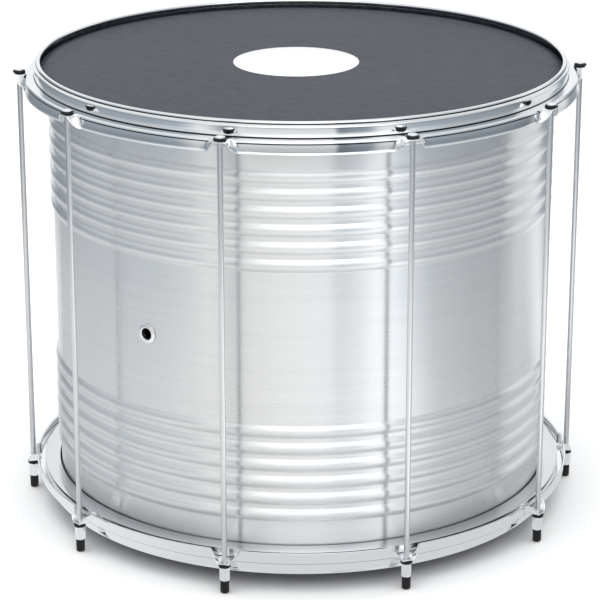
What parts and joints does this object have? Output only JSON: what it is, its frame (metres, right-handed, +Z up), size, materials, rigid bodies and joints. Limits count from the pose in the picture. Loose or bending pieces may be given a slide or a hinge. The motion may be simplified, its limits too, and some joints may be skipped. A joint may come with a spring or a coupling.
{
  "type": "surdo",
  "caption": "Deep two-headed bass drum with a ribbed metal shell, pressed hoops drawn together by long rods that end in rubber feet, and dark skins.",
  "frame": {"origin": "on the floor under the drum's axis, at the level of the foot caps' lowest flats", "axes": "+Z up along the drum's axis, toward the batter head; -Y toward the vent; +X completes a right-handed frame"},
  "size_m": [0.6394, 0.6174, 0.5142],
  "materials": {
    "shell": "brushed, with rolled ribs",
    "eyelet": "polished plate",
    "skin": "coated napa skin, dark grey",
    "flesh_ring": "satin",
    "hoop": "polished plate",
    "rod": "bright zinc plate",
    "nut": "bright zinc plate",
    "washer": "black nylon",
    "foot_cap": "black, satin"
  },
  "bodies": {
    "tension_frame": {"top_hoop": "hoop", "batter_flesh_ring": "flesh_ring", "tension_rod_01": "rod", "tension_rod_02": "rod", "tension_rod_03": "rod", "tension_rod_04": "rod", "tension_rod_05": "rod", "tension_rod_06": "rod", "tension_rod_07": "rod", "tension_rod_08": "rod", "tension_rod_09": "rod", "tension_rod_10": "rod", "foot_cap_01": "foot_cap", "foot_cap_02": "foot_cap", "foot_cap_03": "foot_cap", "foot_cap_04": "foot_cap", "foot_cap_05": "foot_cap", "foot_cap_06": "foot_cap", "foot_cap_07": "foot_cap", "foot_cap_08": "foot_cap", "foot_cap_09": "foot_cap", "foot_cap_10": "foot_cap", "head_washer_01": "washer", "head_washer_02": "washer", "head_washer_03": "washer", "head_washer_04": "washer", "head_washer_05": "washer", "head_washer_06": "washer", "head_washer_07": "washer", "head_washer_08": "washer", "head_washer_09": "washer", "head_washer_10": "washer"},
    "lower_rim": {"bottom_hoop": "hoop", "resonant_flesh_ring": "flesh_ring", "nut_washer_01": "washer", "nut_washer_02": "washer", "nut_washer_03": "washer", "nut_washer_04": "washer", "nut_washer_05": "washer", "nut_washer_06": "washer", "nut_washer_07": "washer", "nut_washer_08": "washer", "nut_washer_09": "washer", "nut_washer_10": "washer"},
    "drum_body": {"shell": "shell", "vent_eyelet": "eyelet", "batter_head": "skin", "batter_head_collar": "skin", "resonant_head": "skin", "resonant_head_collar": "skin"},
    "nut_01": {"tension_nut_01": "nut"},
    "nut_02": {"tension_nut_02": "nut"},
    "nut_03": {"tension_nut_03": "nut"},
    "nut_04": {"tension_nut_04": "nut"},
    "nut_05": {"tension_nut_05": "nut"},
    "nut_06": {"tension_nut_06": "nut"},
    "nut_07": {"tension_nut_07": "nut"},
    "nut_08": {"tension_nut_08": "nut"},
    "nut_09": {"tension_nut_09": "nut"},
    "nut_10": {"tension_nut_10": "nut"}
  },
  "joints": [
    {"name": "lower_rim_draw", "type": "slide", "parent": "tension_frame", "child": "lower_rim", "axis": [0, 0, 1], "range_m": [0, 0.004]},
    {"name": "drum_body_draw", "type": "slide", "parent": "tension_frame", "child": "drum_body", "axis": [0, 0, 1], "range_m": [0, 0.002]},
    {"name": "nut_turn_01", "type": "hinge", "parent": "lower_rim", "child": "nut_01", "pos_m": [0.11013, -0.29299, 0.0223], "axis": [0, 0, 1], "range_deg": [0, 1440]},
    {"name": "nut_turn_02", "type": "hinge", "parent": "lower_rim", "child": "nut_02", "pos_m": [0.26131, -0.1723, 0.0223], "axis": [0, 0, 1], "range_deg": [0, 1440]},
    {"name": "nut_turn_03", "type": "hinge", "parent": "lower_rim", "child": "nut_03", "pos_m": [0.31268, 0.0142, 0.0223], "axis": [0, 0, 1], "range_deg": [0, 1440]},
    {"name": "nut_turn_04", "type": "hinge", "parent": "lower_rim", "child": "nut_04", "pos_m": [0.24462, 0.19527, 0.0223], "axis": [0, 0, 1], "range_deg": [0, 1440]},
    {"name": "nut_turn_05", "type": "hinge", "parent": "lower_rim", "child": "nut_05", "pos_m": [0.08312, 0.30176, 0.0223], "axis": [0, 0, 1], "range_deg": [0, 1440]},
    {"name": "nut_turn_06", "type": "hinge", "parent": "lower_rim", "child": "nut_06", "pos_m": [-0.11013, 0.29299, 0.0223], "axis": [0, 0, 1], "range_deg": [0, 1440]},
    {"name": "nut_turn_07", "type": "hinge", "parent": "lower_rim", "child": "nut_07", "pos_m": [-0.26131, 0.1723, 0.0223], "axis": [0, 0, 1], "range_deg": [0, 1440]},
    {"name": "nut_turn_08", "type": "hinge", "parent": "lower_rim", "child": "nut_08", "pos_m": [-0.31268, -0.0142, 0.0223], "axis": [0, 0, 1], "range_deg": [0, 1440]},
    {"name": "nut_turn_09", "type": "hinge", "parent": "lower_rim", "child": "nut_09", "pos_m": [-0.24462, -0.19527, 0.0223], "axis": [0, 0, 1], "range_deg": [0, 1440]},
    {"name": "nut_turn_10", "type": "hinge", "parent": "lower_rim", "child": "nut_10", "pos_m": [-0.08312, -0.30176, 0.0223], "axis": [0, 0, 1], "range_deg": [0, 1440]}
  ],
  "couplings": [
    {"joint": "drum_body_draw", "follows": "lower_rim_draw", "ratio": 0.5},
    {"joint": "nut_turn_01", "follows": "lower_rim_draw", "rad_per_m": 6283.2},
    {"joint": "nut_turn_02", "follows": "lower_rim_draw", "rad_per_m": 6283.2},
    {"joint": "nut_turn_03", "follows": "lower_rim_draw", "rad_per_m": 6283.2},
    {"joint": "nut_turn_04", "follows": "lower_rim_draw", "rad_per_m": 6283.2},
    {"joint": "nut_turn_05", "follows": "lower_rim_draw", "rad_per_m": 6283.2},
    {"joint": "nut_turn_06", "follows": "lower_rim_draw", "rad_per_m": 6283.2},
    {"joint": "nut_turn_07", "follows": "lower_rim_draw", "rad_per_m": 6283.2},
    {"joint": "nut_turn_08", "follows": "lower_rim_draw", "rad_per_m": 6283.2},
    {"joint": "nut_turn_09", "follows": "lower_rim_draw", "rad_per_m": 6283.2},
    {"joint": "nut_turn_10", "follows": "lower_rim_draw", "rad_per_m": 6283.2}
  ]
}
